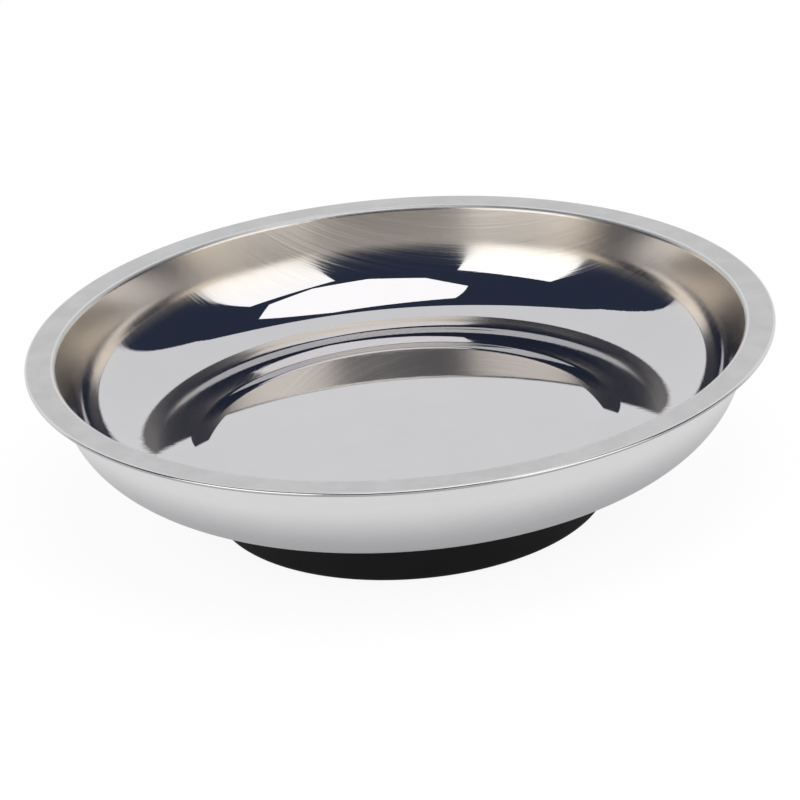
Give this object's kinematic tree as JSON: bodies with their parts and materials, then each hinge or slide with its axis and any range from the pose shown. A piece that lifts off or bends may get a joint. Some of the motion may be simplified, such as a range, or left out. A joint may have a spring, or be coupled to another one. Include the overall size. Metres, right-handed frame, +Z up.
{
  "type": "magnetic parts tray",
  "caption": "Round pressed stainless-steel bowl with a flat rim, standing on a rubber-covered ring magnet, that holds screws and other small steel parts.",
  "frame": {"origin": "centre of the rubber foot, on the surface that the tray stands on", "axes": "+Z up along the tray's axis, out of the bowl's mouth; X and Y across it, with -Y towards the picture's camera"},
  "size_m": [0.15, 0.15, 0.0358],
  "materials": {
    "stainless": "bright pressed stainless sheet with fine brush lines, satin on the rim",
    "stud_steel": "plain rolled stainless thread",
    "ferrite": "sintered ferrite, matte dark grey",
    "zinc_plate": "zinc-plated steel, dull and slightly yellow",
    "boot_rubber": "moulded black rubber, satin"
  },
  "bodies": {
    "root": {"bowl": "stainless", "weld_stud": "stud_steel", "ring_magnet": "ferrite", "clamp_plate": "zinc_plate", "flat_washer": "zinc_plate", "lock_washer": "zinc_plate", "hex_nut": "zinc_plate", "rubber_boot": "boot_rubber"}
  },
  "joints": []
}
